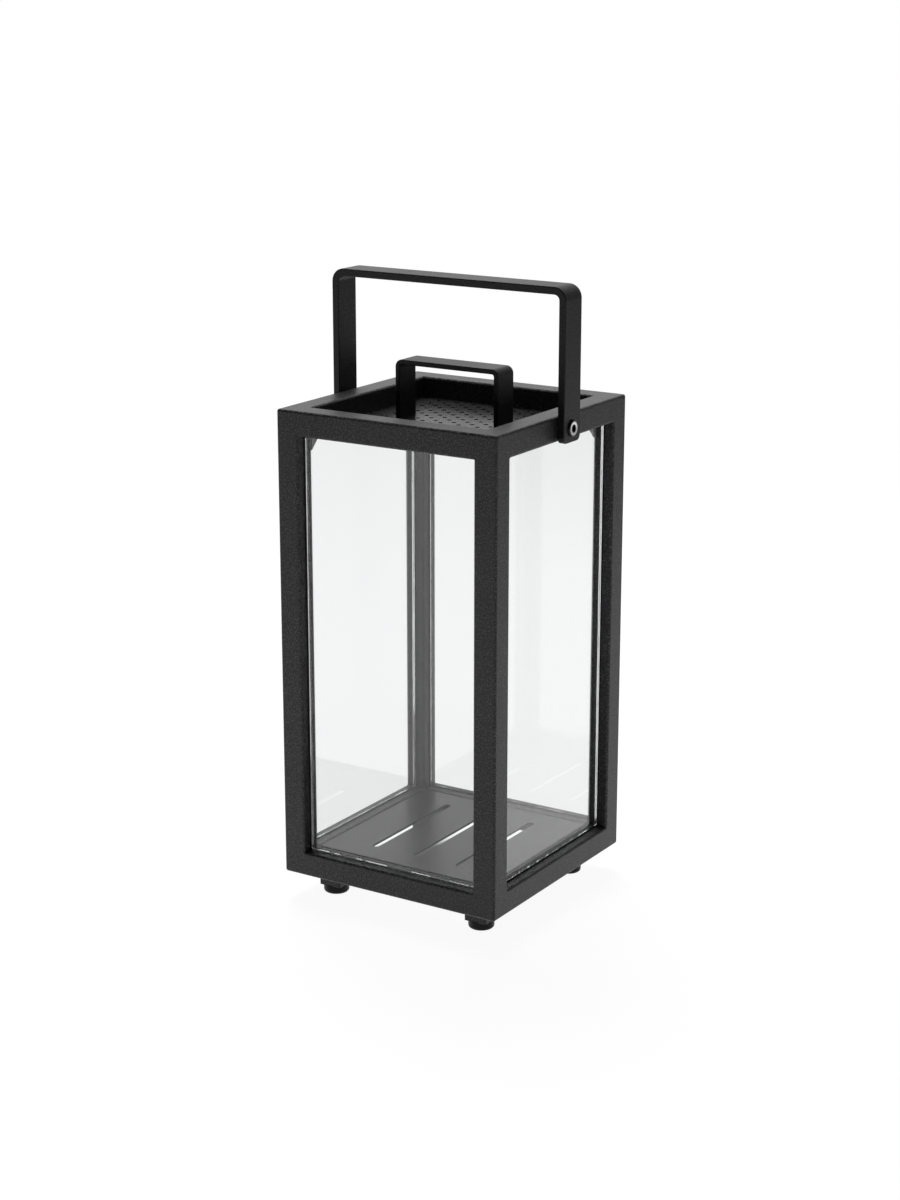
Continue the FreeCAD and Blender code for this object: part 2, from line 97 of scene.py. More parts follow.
def add(tree, kind, links=(), **values):
    """One node. links joins its inputs to outputs, and values sets its plain properties."""
    node = tree.nodes.new(kind)
    for name, value in values.items():
        setattr(node, name, value)
    for socket, source in dict(links).items():
        tree.links.new(source, node.inputs[socket])
    return node


def place(tree, centre=(0, 0, 0), scale=(1, 1, 1)):
    """Object coordinates, moved so that centre is the middle of the pattern."""
    coordinate = add(tree, "ShaderNodeTexCoord")
    mapping = add(tree, "ShaderNodeMapping", {"Vector": coordinate.outputs["Object"]},
                  vector_type="TEXTURE")
    mapping.inputs["Location"].default_value = centre
    mapping.inputs["Scale"].default_value = scale
    return mapping.outputs["Vector"]


def noise(tree, vector, size, detail=2.0, roughness=0.5):
    """Cloudy noise with features of about size metres."""
    node = add(tree, "ShaderNodeTexNoise", {"Vector": vector})
    node.inputs["Scale"].default_value = 1.0 / size
    node.inputs["Detail"].default_value = detail
    node.inputs["Roughness"].default_value = roughness
    return node.outputs["Fac"]


def remap(tree, value, low, high, to_low=0.0, to_high=1.0):
    """Carries the range from low to high over to another one, and stops at its ends."""
    node = add(tree, "ShaderNodeMapRange", {"Value": value}, clamp=True)
    node.inputs["From Min"].default_value = low
    node.inputs["From Max"].default_value = high
    node.inputs["To Min"].default_value = to_low
    node.inputs["To Max"].default_value = to_high
    return node.outputs["Result"]


def maths(tree, operation, first, second):
    """One sum of two values, each a number or another node's output."""
    node = add(tree, "ShaderNodeMath", operation=operation)
    for socket, value in zip(node.inputs, (first, second)):
        if isinstance(value, (int, float)):
            socket.default_value = value
        else:
            tree.links.new(value, socket)
    return node.outputs["Value"]


def weighted(tree, first, first_share, second, second_share):
    """The sum of two values, each times its share."""
    return maths(tree, "ADD", maths(tree, "MULTIPLY", first, first_share),
                 maths(tree, "MULTIPLY", second, second_share))


def far_from_axis(tree, first, second):
    """The distance from an axis, from the two coordinates across it."""
    return maths(tree, "SQRT", maths(tree, "ADD", maths(tree, "MULTIPLY", first, first),
                                     maths(tree, "MULTIPLY", second, second)), 0.0)


def larger_side(tree, first, second):
    """The larger of two coordinates, whatever their signs."""
    return maths(tree, "MAXIMUM", maths(tree, "ABSOLUTE", first, 0.0),
                 maths(tree, "ABSOLUTE", second, 0.0))


def between(tree, factor, first, second):
    """A colour between two greys or colours, by a factor."""
    node = add(tree, "ShaderNodeMix", data_type="RGBA")
    tree.links.new(factor, node.inputs["Factor"])
    for socket, colour in ((node.inputs["A"], first), (node.inputs["B"], second)):
        if isinstance(colour, tuple):
            socket.default_value = colour + (1.0,)
        else:
            tree.links.new(colour, socket)
    return node.outputs["Result"]


def bump(tree, height, depth):
    """A normal tilted by a height from 0 to 1 that stands for depth metres."""
    node = add(tree, "ShaderNodeBump", {"Height": height})
    node.inputs["Distance"].default_value = depth
    node.inputs["Strength"].default_value = 1.0
    return node.outputs["Normal"]


def surface(tree, output, **plain):
    """The Principled shader that every solid finish here ends in."""
    shader = add(tree, "ShaderNodeBsdfPrincipled")
    for name, value in plain.items():
        shader.inputs[name.replace("_", " ")].default_value = value
    tree.links.new(shader.outputs["BSDF"], output.inputs["Surface"])
    return shader


# ================================================================ finishes
CLOUDS = (0.3, 0.7)          # nearly the whole spread of a cloudy noise
COARSE_GRAIN = 3.2           # size of a coat's coarse grains, in fine ones
DRIFT_SIZE = 90.0 * MM       # size of the slow drift in tone and gloss
FINE_SHARE = 0.86            # fine grains in the height, and grains in the tone
SLOW_SHARE = 0.14            # coarse grains in the height, and drift in the tone
GRAIN_TONES = (0.49, 0.66)   # grain heights that are darkest and lightest
FINE_GLOSS, DRIFT_GLOSS = 0.6, 0.4   # their shares in the roughness


def powder_coat(name, dark, light, grain, depth, rough_low, rough_high, shine):
    """Textured powder coat: fine grains that stand up and catch the light, over a slow
    drift in tone and gloss."""
    material, tree, output = new_material(name)
    vector = place(tree)
    fine = noise(tree, vector, grain, detail=2.0, roughness=0.55)
    coarse = noise(tree, vector, COARSE_GRAIN * grain, detail=2.0)
    drift = noise(tree, vector, DRIFT_SIZE, detail=2.0)
    grains = weighted(tree, fine, FINE_SHARE, coarse, SLOW_SHARE)
    tone = remap(tree, grains, *GRAIN_TONES)
    slow = remap(tree, drift, *CLOUDS)
    mixed = weighted(tree, tone, FINE_SHARE, slow, SLOW_SHARE)
    shader = surface(tree, output, Specular_IOR_Level=shine)
    tree.links.new(between(tree, mixed, dark, light), shader.inputs["Base Color"])
    rough = remap(tree, weighted(tree, fine, FINE_GLOSS, drift, DRIFT_GLOSS), *CLOUDS,
                  rough_low, rough_high)
    tree.links.new(rough, shader.inputs["Roughness"])
    tree.links.new(bump(tree, grains, depth), shader.inputs["Normal"])
    return material


GLASS_TINT = (0.915, 0.918, 0.920, 1.0)
LAMP_TINT = (0.9, 0.91, 0.91, 1.0)     # what a lamp's light keeps through a pane
GLASS_IOR = 1.5
SMEAR_SIZE = 50.0 * MM
SMEAR_TONES = (0.35, 0.75)
SMEAR_ROUGH = 0.010


def clear_glass():
    """Neutral float glass with a trace of smear. Lamps shine through it."""
    material, tree, output = new_material("clear_float_glass")
    vector = place(tree)
    smear = remap(tree, noise(tree, vector, SMEAR_SIZE, detail=3.0), *SMEAR_TONES,
                  0.0, SMEAR_ROUGH)
    glass = add(tree, "ShaderNodeBsdfPrincipled", {"Roughness": smear})
    glass.inputs["Base Color"].default_value = GLASS_TINT
    glass.inputs["Transmission Weight"].default_value = 1.0
    glass.inputs["IOR"].default_value = GLASS_IOR
    through = add(tree, "ShaderNodeBsdfTransparent")
    through.inputs["Color"].default_value = LAMP_TINT
    path = add(tree, "ShaderNodeLightPath")
    lamps = maths(tree, "MAXIMUM", path.outputs["Is Shadow Ray"], path.outputs["Is Diffuse Ray"])
    mix = add(tree, "ShaderNodeMixShader", {0: lamps, 1: glass.outputs["BSDF"],
                                            2: through.outputs["BSDF"]})
    tree.links.new(mix.outputs["Shader"], output.inputs["Surface"])
    return material


SPECK_SIZE = 1.1 * MM
SPECK_WEIGHT = 0.5           # how much the specks break up the edge of the painted glint
GLINT_RISE = (0.30, 0.62)    # skin from which the painted black gives way to the painted white glint, and where it has gone
WHITE_GLINT_RISE = (1.1, 1.6)    # skin from which the clear gives way to opaque white painted glints
CLEAR_SHARE = (0.90, 0.05)   # how clear it is before and after


def sealant_finish():
    """Silicone painted near black where it lies on the steel, standing for the dark tube and the
    shade seen through clear silicone, and clear and white where a painted glint lies along the
    glass: the bright line is partly real light through the clear strip and partly painted white.
    The glint's strength is the point attribute skin of the bead."""
    material, tree, output = new_material("clear_sealant")
    vector = place(tree)
    specks = noise(tree, vector, SPECK_SIZE, detail=2.0)
    # The skin attribute is the strength of the painted glint.
    attribute = add(tree, "ShaderNodeAttribute", attribute_name="skin")
    ragged = maths(tree, "MULTIPLY", maths(tree, "SUBTRACT", specks, 0.5), SPECK_WEIGHT)
    glint = remap(tree, maths(tree, "ADD", attribute.outputs["Fac"], ragged), *GLINT_RISE)
    shader = surface(tree, output, IOR=1.41)
    # Painted colour: near black for the dark tube and its shade, white for the painted glint.
    tree.links.new(between(tree, glint, (0.006, 0.006, 0.007), (0.96, 0.96, 0.96)),
                   shader.inputs["Base Color"])
    clear = maths(tree, "MULTIPLY", glint,
                  remap(tree, attribute.outputs["Fac"], *WHITE_GLINT_RISE, *CLEAR_SHARE))
    tree.links.new(clear, shader.inputs["Transmission Weight"])
    tree.links.new(remap(tree, specks, *CLOUDS, 0.02, 0.16), shader.inputs["Roughness"])
    tree.links.new(bump(tree, specks, 0.05 * MM), shader.inputs["Normal"])
    return material


def foot_rubber():
    """Black rubber with a faint moulded grain and a slow drift in tone."""
    material, tree, output = new_material("black_rubber")
    vector = place(tree)
    skin = noise(tree, vector, 0.5 * MM, detail=3.0)
    bloom = remap(tree, noise(tree, vector, 9.0 * MM), *CLOUDS)
    shader = surface(tree, output, Specular_IOR_Level=0.16)
    tree.links.new(between(tree, bloom, (0.002, 0.002, 0.002), (0.007, 0.007, 0.007)),
                   shader.inputs["Base Color"])
    tree.links.new(remap(tree, skin, *CLOUDS, 0.30, 0.46), shader.inputs["Roughness"])
    tree.links.new(bump(tree, skin, 0.05 * MM), shader.inputs["Normal"])
    return material


TURNING_MARK = 0.2 * MM      # from one ring that the tool left to the next
STAIN_TONE = 0.86            # how light the stained patches of bare steel are
BARE_EDGE = 0.1 * MM         # half the fade at the border of the bare ring
# Painted dark reflection of the screw's shoulder and painted shade in its socket.
PAINTED_DARK = (0.020, 0.020, 0.021)


def turned_steel(name, axis_point, colour, rough_low, rough_high, bright=None):
    """Steel with the fine rings that turning leaves round the X axis through a point. Where
    bright gives two radii, only the ring between them is bare steel and the rest is painted
    dark, as painted reflection on the shoulder and painted shade in the socket, as the
    photograph shows the screw."""
    material, tree, output = new_material(name)
    vector = place(tree, centre=axis_point)
    apart = add(tree, "ShaderNodeSeparateXYZ", {"Vector": vector})
    radius = far_from_axis(tree, apart.outputs["Y"], apart.outputs["Z"])
    rings = add(tree, "ShaderNodeTexNoise", {"W": radius}, noise_dimensions="1D")
    rings.inputs["Scale"].default_value = 1.0 / TURNING_MARK
    rings.inputs["Detail"].default_value = 2.0
    stain = noise(tree, vector, 3.0 * MM, detail=3.0)
    shader = surface(tree, output, Metallic=1.0)
    stained = tuple(STAIN_TONE * channel for channel in colour)
    tone = between(tree, remap(tree, stain, *CLOUDS), stained, colour)
    if bright is not None:
        inside, outside = bright
        bare = maths(tree, "MULTIPLY",
                     remap(tree, radius, inside - BARE_EDGE, inside + BARE_EDGE),
                     remap(tree, radius, outside - BARE_EDGE, outside + BARE_EDGE, 1.0, 0.0))
        # Outside the bare ring the head gets the painted dark reflection and shade.
        tone = between(tree, bare, PAINTED_DARK, tone)
    tree.links.new(tone, shader.inputs["Base Color"])
    tree.links.new(remap(tree, rings.outputs["Fac"], *CLOUDS, rough_low, rough_high),
                   shader.inputs["Roughness"])
    tree.links.new(bump(tree, rings.outputs["Fac"], 0.01 * MM), shader.inputs["Normal"])
    return material


SEAM_WIDTH = 0.9 * MM
SEAM_BLUR = 0.2              # share of the width over which it fades to each side
CUT_EDGE = (0.15 * MM, 0.05 * MM)    # depths below the face between which painted shade darkens the cut edge
# Colour of the painted shadow and shade.
SEAM_SHADOW_BLACK = (0.001, 0.001, 0.001)


def shadow_seams(material, name):
    """Painted shadow: a dark line along a sheet's border, where the gap to the rails lies in
    shade, and painted shade on its cut edges, as the photograph shows one: black and matt within
    SEAM_WIDTH of the border and below the upper face."""
    tree = material.node_tree
    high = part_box(name)[1]
    apart = add(tree, "ShaderNodeSeparateXYZ", {"Vector": place(tree)})
    far = larger_side(tree, apart.outputs["X"], apart.outputs["Y"])
    border = remap(tree, far, high.x - (1 + SEAM_BLUR) * SEAM_WIDTH,
                   high.x - (1 - SEAM_BLUR) * SEAM_WIDTH)
    deep, shallow = CUT_EDGE
    below = remap(tree, apart.outputs["Z"], high.z - deep, high.z - shallow, 1.0, 0.0)
    # Painted shadow along the border gap and painted shade on the cut edges.
    seam_shade = maths(tree, "MAXIMUM", border, below)
    shader = next(n for n in tree.nodes if n.type == "BSDF_PRINCIPLED")
    colour = shader.inputs["Base Color"].links[0].from_socket
    rough = shader.inputs["Roughness"].links[0].from_socket
    tree.links.new(between(tree, seam_shade, colour, SEAM_SHADOW_BLACK), shader.inputs["Base Color"])
    tree.links.new(maths(tree, "MAXIMUM", rough, seam_shade), shader.inputs["Roughness"])


def dress(finish, *names):
    """Gives CAD nodes one finish."""
    for name in names:
        mesh = nodes[name].data
        mesh.materials.clear()
        mesh.materials.append(finish)


frame_coat = powder_coat("charcoal_texture_coat", dark=(0.0060, 0.0060, 0.0062),
                         light=(0.0970, 0.0972, 0.0980), grain=1.25 * MM, depth=0.50 * MM,
                         rough_low=0.34, rough_high=0.46, shine=0.33)
floor_coat = powder_coat("charcoal_satin_coat", dark=(0.003, 0.003, 0.0032),
                         light=(0.010, 0.010, 0.0105), grain=0.6 * MM, depth=0.006 * MM,
                         rough_low=0.30, rough_high=0.33, shine=0.40)
shadow_seams(floor_coat, "floor_plate")
lid_coat = powder_coat("charcoal_lid_coat", dark=(0.006, 0.006, 0.0063),
                       light=(0.034, 0.034, 0.0345), grain=0.9 * MM, depth=0.10 * MM,
                       rough_low=0.22, rough_high=0.30, shine=0.6)
strap_coat = powder_coat("charcoal_strap_coat", dark=(0.0015, 0.0015, 0.0016),
                         light=(0.0150, 0.0150, 0.0154), grain=1.25 * MM, depth=0.40 * MM,
                         rough_low=0.32, rough_high=0.44, shine=0.29)
glass_finish = clear_glass()
sealant = sealant_finish()
rubber = foot_rubber()

for corner in CORNERS:
    dress(frame_coat, "post_" + corner, "foot_stub_" + corner, "lid_bracket_" + corner)
    dress(rubber, "rubber_foot_" + corner)
for side in SIDES:
    dress(frame_coat, "bottom_rail_" + side, "top_rail_" + side)
    dress(glass_finish, "pane_" + side)
dress(floor_coat, "floor_plate")
dress(lid_coat, "lid_plate")
dress(strap_coat, "lid_handle", "carrying_bail")


# ================================================================ surfaces
def grid_faces(rows, columns, close_rows, close_columns):
    """Quads of a grid of points that is numbered row by row. Either way can be closed."""
    row = np.arange(rows if close_rows else rows - 1)
    column = np.arange(columns if close_columns else columns - 1)
    row, column = np.meshgrid(row, column, indexing="ij")
    next_row = (row + 1) % rows
    next_column = (column + 1) % columns
    quads = np.stack([row * columns + column, row * columns + next_column,
                      next_row * columns + next_column, next_row * columns + column], axis=-1)
    return quads.reshape(-1, 4)


def add_piece(name, points, quads, triangles, finish, body, crease):
    """One piece from its points and faces. It rides on a body, and stays at the origin."""
    mesh = bpy.data.meshes.new(name)
    corners = np.concatenate([quads.ravel(), triangles.ravel()]).astype(np.int32)
    sizes = np.concatenate([np.full(len(quads), 4), np.full(len(triangles), 3)])
    starts = np.concatenate([[0], np.cumsum(sizes)[:-1]]).astype(np.int32)
    mesh.vertices.add(len(points))
    mesh.vertices.foreach_set("co", points.astype(np.float32).ravel())
    mesh.loops.add(len(corners))
    mesh.loops.foreach_set("vertex_index", corners)
    mesh.polygons.add(len(sizes))
    mesh.polygons.foreach_set("loop_start", starts)
    mesh.update(calc_edges=True)
    mesh.validate()
    mesh.polygons.foreach_set("use_smooth", np.ones(len(mesh.polygons), dtype=bool))
    mesh.set_sharp_from_angle(angle=math.radians(crease))
    mesh.materials.append(finish)
    piece = bpy.data.objects.new(name, mesh)
    bpy.context.scene.collection.objects.link(piece)
    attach(piece, body)
    return piece


def waves(along, seed, longest, count):
    """A seamless-looking wobble from -1 to 1: sines of random phase whose lengths halve from
    longest, each with less height than the one before."""
    random = np.random.default_rng(seed)
    total = np.zeros_like(along)
    heights = 0.0
    for index in range(count):
        height = 0.72 ** index
        length = longest * (0.5 + 0.1 * random.random()) ** index
        total += height * np.sin(2 * math.pi * (along / length + random.random()))
        heights += height
    return total / heights


# ================================================================ sealant beads
PANE_HALF = 1.5 * MM         # half the pane's thickness
PANE_EDGE = 1.0 * MM         # from the tube to the pane's edge
BEAD_CLEAR = 0.02 * MM       # the bead's skin stands this far off the pane and the tube
# The thick and the thin bank: how far each runs out beside the pane, and climbs its face.
BEAD_REACH = (0.90 * MM, 0.40 * MM)
BEAD_LAP = (1.60 * MM, 0.35 * MM)
# How both wander along the run: the share they swing by, and the longest wave's length.
REACH_SWING, REACH_WAVE = 0.16, 110.0 * MM
LAP_SWING, LAP_WAVE = 0.14, 80.0 * MM
LEVEL_LAP = 0.55             # share of the thick bank's climb along the top and bottom
LEVEL_FADE = 8.0 * MM        # from the post to where that share is reached
GLINT_WIDTH = 1.0 * MM        # the strip of painted glint along the thick bank's edge
BEAD_STEP = 0.6 * MM
CORNER_CLEAR = 3.0 * MM      # no station but the corner itself is nearer to a corner
ON_EDGE = 0.1 * MM           # a station this near to an edge of the opening is on it
ROUND_STEPS = 6              # steps over the rounded free side of the bead
# Stretches of the front bead's bottom run that get painted glints, along X, millimetres.
FRONT_GLINTS = ((-81, -78), (-63, -58), (-53, -36), (-31, -27), (-7, 17), (34, 53), (70, 73))
RIGHT_GLINTS = ((-81, -77),)
GLINT_FADE = 1.5 * MM
# How strong the painted glint is: its mean and swing up the posts and along the top and bottom,
# between the front's painted bottom glints and what such a glint adds, and on the near bank of
# the front's level runs.
UPRIGHT_GLINT, UPRIGHT_SWING = 0.90, 0.10
LEVEL_GLINT, LEVEL_SWING = 0.38, 0.16
BETWEEN_GLINTS, SPOT_GLINT = 0.60, 0.60
NEAR_BANK_GLINT = 0.9
LEVEL_GAIN = 1.3
# The right bead's bottom run gets painted glint towards the back, from 48 mm on, and painted
# specks of glint all along.
REAR_FROM, REAR_FADE, REAR_GLINT = 48 * MM, 20 * MM, 0.75
SPECK_GAIN, SPECK_CUT, SPECK_GLINT = 2.2, 0.45, 0.8


def opening_path(half, base, top):
    """Stations round a window opening, as places (along, up) on its rectangle, anticlockwise
    from the lower left corner. Corners are stations and no other lies close to one."""
    corners = [(-half, base), (half, base), (half, top), (-half, top)]
    places = []
    for start, end in zip(corners, corners[1:] + corners[:1]):
        start = np.array(start)
        run = np.array(end) - start
        length = float(np.linalg.norm(run))
        count = int(length / BEAD_STEP)
        share = np.linspace(CORNER_CLEAR / length, 1 - CORNER_CLEAR / length, count)
        places.append(start[None])
        places.append(start + share[:, None] * run)
    return np.concatenate(places)


def in_glints(along, stretches):
    """One inside the given stretches of a run and nothing outside, with soft ends."""
    total = np.zeros_like(along)
    for start, end in stretches:
        inside = np.minimum(along - start * MM, end * MM - along)
        total = np.maximum(total, np.clip(inside / GLINT_FADE + 0.5, 0, 1))
    return total


def glint_along(places, half, base, side, distance):
    """How strong the painted glint is at each station: fine lines up the posts, and along the
    top and bottom broken patches, with brighter spots and specks where the photograph has
    glints."""
    along, up = places[:, 0], places[:, 1]
    upright = np.abs(along) > half - ON_EDGE
    lower = up < base + ON_EDGE
    line = UPRIGHT_GLINT + UPRIGHT_SWING * waves(distance, 21 + SIDES.index(side), 45.0 * MM, 4)
    patches = LEVEL_GLINT + LEVEL_SWING * waves(distance, 31 + SIDES.index(side), 60.0 * MM, 4)
    # Painted glints along the front's bottom run.
    if side == "front":
        spot_glints = BETWEEN_GLINTS + SPOT_GLINT * in_glints(along, FRONT_GLINTS)
        patches = np.where(lower, spot_glints, patches)
    if side == "right":
        rear = REAR_GLINT * np.clip((along - REAR_FROM) / REAR_FADE, 0, 1)
        specks = np.clip(SPECK_GAIN * waves(distance, 47, 14.0 * MM, 4) - SPECK_CUT, 0, 1)
        near = in_glints(along, RIGHT_GLINTS)
        patches = np.where(lower, np.maximum(np.maximum(rear, near), SPECK_GLINT * specks),
                           patches)
    return np.where(upright, line, LEVEL_GAIN * patches)


def sealant_bead(side):
    """Bead that beds one pane in its opening. Its section runs over the tube's face from one
    side of the pane to the other: a thick and a thin rounded bank beside the two faces of the
    pane and a flat under the pane's edge. Each bank is a quarter ellipse of half-axes (reach,
    edge + lap), both of which wander along the run. The section is carried round the opening,
    and each of its points keeps to the rectangle that lies its own height inside the opening,
    which mitres the corners."""
    low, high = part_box("pane_seal_" + side)
    turn = SIDES.index(side)
    along_axis, across_axis = (0, 1) if side in ("front", "back") else (1, 0)
    middle = abs(low[across_axis] + high[across_axis]) / 2
    half = (high[along_axis] - low[along_axis]) / 2
    base, top = low.z, high.z
    places = opening_path(half, base, top)
    step = np.linalg.norm(np.diff(places, axis=0, append=places[:1]), axis=1)
    distance = np.concatenate([[0.0], np.cumsum(step)[:-1]])

    steps = np.linspace(0, math.pi / 2, ROUND_STEPS)
    sections = []
    inner_thick = side in ("front", "right")
    for bank, seed in ((-1, 3 + turn), (1, 11 + turn)):
        size = 0 if (bank > 0) == inner_thick else 1
        reach = BEAD_REACH[size] * (1 + REACH_SWING * waves(distance, seed, REACH_WAVE, 5))
        lap = BEAD_LAP[size] * (1 + LAP_SWING * waves(distance, seed + 50, LAP_WAVE, 5))
        if size == 0:
            from_post = (half - np.abs(places[:, 0])) / LEVEL_FADE
            lap = lap * (1 - (1 - LEVEL_LAP) * np.clip(from_post, 0, 1))
            thick_lap = lap
        face = PANE_HALF + BEAD_CLEAR
        out = face + reach[:, None] * np.cos(steps)
        rise = BEAD_CLEAR + (PANE_EDGE + lap)[:, None] * np.sin(steps)
        sections.append((bank * out, rise))
    ledge = np.full((len(places), 1), PANE_EDGE - BEAD_CLEAR)
    edge = np.full((len(places), 1), PANE_HALF + BEAD_CLEAR)
    foot = np.maximum(PANE_EDGE + thick_lap[:, None] - GLINT_WIDTH, ledge + BEAD_CLEAR)
    across = np.concatenate([sections[0][0], -edge, -edge, edge, edge,
                             sections[1][0][:, ::-1]], axis=1)
    low_foot = ledge + 0.5 * BEAD_CLEAR
    height = np.concatenate([sections[0][1], low_foot if inner_thick else foot, ledge, ledge,
                             foot if inner_thick else low_foot, sections[1][1][:, ::-1]], axis=1)

    along = np.clip(places[:, :1], -half + height, half - height)
    up = np.clip(places[:, 1:], base + height, top - height)
    # Drawn for the front opening, facing -Y, then turned to its own side by quarter turns.
    front = -middle + across
    points = np.stack([along, front, up], axis=-1)
    for _ in range(turn):
        points = np.stack([-points[..., 1], points[..., 0], points[..., 2]], axis=-1)

    # The painted glint lies on the thick bank, which is behind the glass as the photograph sees
    # it:
    # inside the front and right panes, outside the back and left ones. Along the front's top and
    # bottom the thin bank gets painted glint too.
    strength = glint_along(places, half, base, side, distance)
    thick_bank = np.zeros(across.shape[1])
    if inner_thick:
        thick_bank[-ROUND_STEPS - 1:] = 1.0
    else:
        thick_bank[:ROUND_STEPS + 1] = 1.0
    skin = strength[:, None] * thick_bank
    if side == "front":
        level = np.abs(places[:, 0]) < half - ON_EDGE
        thin_bank = np.zeros(across.shape[1])
        thin_bank[:ROUND_STEPS] = 1.0
        skin = skin + NEAR_BANK_GLINT * level[:, None] * thin_bank

    quads = grid_faces(len(places), across.shape[1], True, True)
    bead = add_piece("sealant_bead_" + side, points.reshape(-1, 3), quads,
                     np.zeros((0, 3), dtype=int), sealant, "lantern", 50.0)
    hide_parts("pane_seal_" + side)
    # The skin attribute carries the strength of the painted glint.
    glint_layer = bead.data.attributes.new("skin", "FLOAT", "POINT")
    glint_layer.data.foreach_set("value", skin.astype(np.float32).ravel())


for side in SIDES:
    sealant_bead(side)


# ================================================================ pivot screws
HEX_ACROSS = 5.0 * MM
SOCKET_DEPTH = 3.0 * MM
SOCKET_BEVEL = 0.4 * MM
SOCKET_TAPER = 0.97          # how much smaller the socket is at its floor
HEAD_HEIGHT = 1.4 * MM
HEAD_RADIUS = 6.8 * MM
HEAD_FLAT = 5.4 * MM
HEAD_RIM = 0.3 * MM
SHANK_RADIUS = 4.0 * MM
THREAD_PITCH = 1.25 * MM
THREAD_DEPTH = 0.60 * MM
THREAD_ROWS = 10             # rows of points for each turn of thread
PLAIN_SHANK = 7.5 * MM       # unthreaded length under the head, where the bail turns
TIP_CHAMFER = 1.0 * MM
BARE_RING = (3.2 * MM, 5.35 * MM)    # radii between which the head is bare steel
AROUND = 60                  # points round the screw, ten to each side of the socket


def pivot_screw(side):
    """Flat head connector screw. Rings of points about its axis, from the middle of the
    socket's floor out over the head and down the shank to the tip. A ring's radius is its
    own, except in the socket, where it is the hexagon's: half the width across flats over
    the cosine of the angle from the nearest flat. The thread takes from the shank's radius a
    triangle wave of (distance along / pitch + angle / a whole turn)."""
    low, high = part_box("pivot_screw_" + side)
    sign = 1 if side == "right" else -1
    crown = max(abs(low.x), abs(high.x))
    tip = min(abs(low.x), abs(high.x))
    seat = crown - HEAD_HEIGHT
    level = (low.z + high.z) / 2
    angle = np.arange(AROUND) / AROUND * 2 * math.pi
    sixth = math.pi / 3
    hexagon = HEX_ACROSS / 2 / np.cos((angle % sixth) - sixth / 2)
    rings = []

    def ring(along, radius):
        rings.append((np.full(AROUND, along), np.broadcast_to(radius, (AROUND,))))

    mouth = HEX_ACROSS / math.sqrt(3) + SOCKET_BEVEL
    ring(crown - SOCKET_DEPTH, SOCKET_TAPER * hexagon)
    ring(crown - SOCKET_BEVEL, hexagon)
    ring(crown - 0.03 * MM, mouth - 0.03 * MM)
    ring(crown, mouth + 0.05 * MM)
    ring(crown, HEAD_FLAT)
    for turn in np.linspace(0.15, 1.0, 7) * math.pi / 2:
        ring(seat + HEAD_RIM + (crown - seat - HEAD_RIM) * math.cos(turn),
             HEAD_FLAT + (HEAD_RADIUS - HEAD_FLAT) * math.sin(turn))
    ring(seat + 0.1 * MM, HEAD_RADIUS)
    ring(seat, HEAD_RADIUS - 0.1 * MM)
    ring(seat, SHANK_RADIUS)
    ring(seat - PLAIN_SHANK, SHANK_RADIUS)
    turns = (seat - PLAIN_SHANK - tip - TIP_CHAMFER) / THREAD_PITCH
    for row in range(1, int(turns * THREAD_ROWS)):
        down = row / THREAD_ROWS * THREAD_PITCH
        phase = (down / THREAD_PITCH + angle / (2 * math.pi)) % 1.0
        groove = 1 - np.abs(2 * phase - 1)
        ring(seat - PLAIN_SHANK - down,
             SHANK_RADIUS - THREAD_DEPTH * groove * min(1.0, down / THREAD_PITCH))
    ring(tip + TIP_CHAMFER, SHANK_RADIUS - THREAD_DEPTH)
    ring(tip, SHANK_RADIUS - TIP_CHAMFER)
    along = np.stack([r[0] for r in rings])
    radius = np.stack([r[1] for r in rings])
    points = np.stack([sign * along, radius * np.cos(angle),
                       level + radius * np.sin(angle)], axis=-1).reshape(-1, 3)
    rows = len(rings)
    quads = grid_faces(rows, AROUND, False, True)
    ends = np.array([[sign * (crown - SOCKET_DEPTH), 0.0, level], [sign * tip, 0.0, level]])
    first = np.arange(AROUND)
    after = (first + 1) % AROUND
    start = rows * AROUND
    last = (rows - 1) * AROUND
    floor = np.stack([np.full(AROUND, start), after, first], axis=-1)
    end = np.stack([np.full(AROUND, start + 1), last + first, last + after], axis=-1)
    triangles = np.concatenate([floor, end])
    if sign > 0:
        quads = quads[:, ::-1]
        triangles = triangles[:, ::-1]
    steel = turned_steel("stainless_" + side, (0.0, 0.0, level), (0.86, 0.86, 0.85), 0.14, 0.30,
                         bright=BARE_RING)
    screw = add_piece("connector_screw_" + side, np.concatenate([points, ends]), quads,
                      triangles, steel, "lantern", 28.0)
    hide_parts("pivot_screw_" + side)
    dress(turned_steel("zinc_" + side, (0.0, 0.0, level), (0.62, 0.63, 0.65), 0.3, 0.5),
          "pivot_nut_" + side)


for side in ("left", "right"):
    pivot_screw(side)


# ================================================================ studio
FLOOR_REACH = 9.0
# The world. Ranges are of the share of LIT_FROM in a direction, or of its upward share.
LIT_FROM = (-0.53, 0.85, 0.0)    # plan direction of the bright side of the studio
MIRROR_RISE = (0.45, 0.90)   # where mirrors see it go from dark to white
DARK_SIDE = 0.04             # what mirrors see of the dark side
OVERHEAD_RISE = (0.35, 0.80)
OVERHEAD = 0.20              # what mirrors see straight up
LAMP_RISE = (0.3, 0.8)       # where it goes from FAINT to FILL as a lamp
FAINT, FILL = 0.06, 0.5

# The floor. Distances from the middle of the lantern in metres.
FLOOR_GREY = 0.8             # the floor where light bounces off it
SHADE_GREY = 0.07            # how much lamp light and shadow the seen floor takes
FLOOR_GLOW = 0.94            # share of the floor's white that no shadow takes away
FAR_WHITE, WHITE_REACH = 0.99, (0.8, 3.0)    # its white far off, and where it gets there
FAR_GLOW, GLOW_REACH = 0.30, (1.1, 2.4)      # the same for what mirrors see of it
FRONT_GLOW = 1.0             # what mirrors see of the floor before the lantern
FRONT_REACH = (-0.15, -0.50)
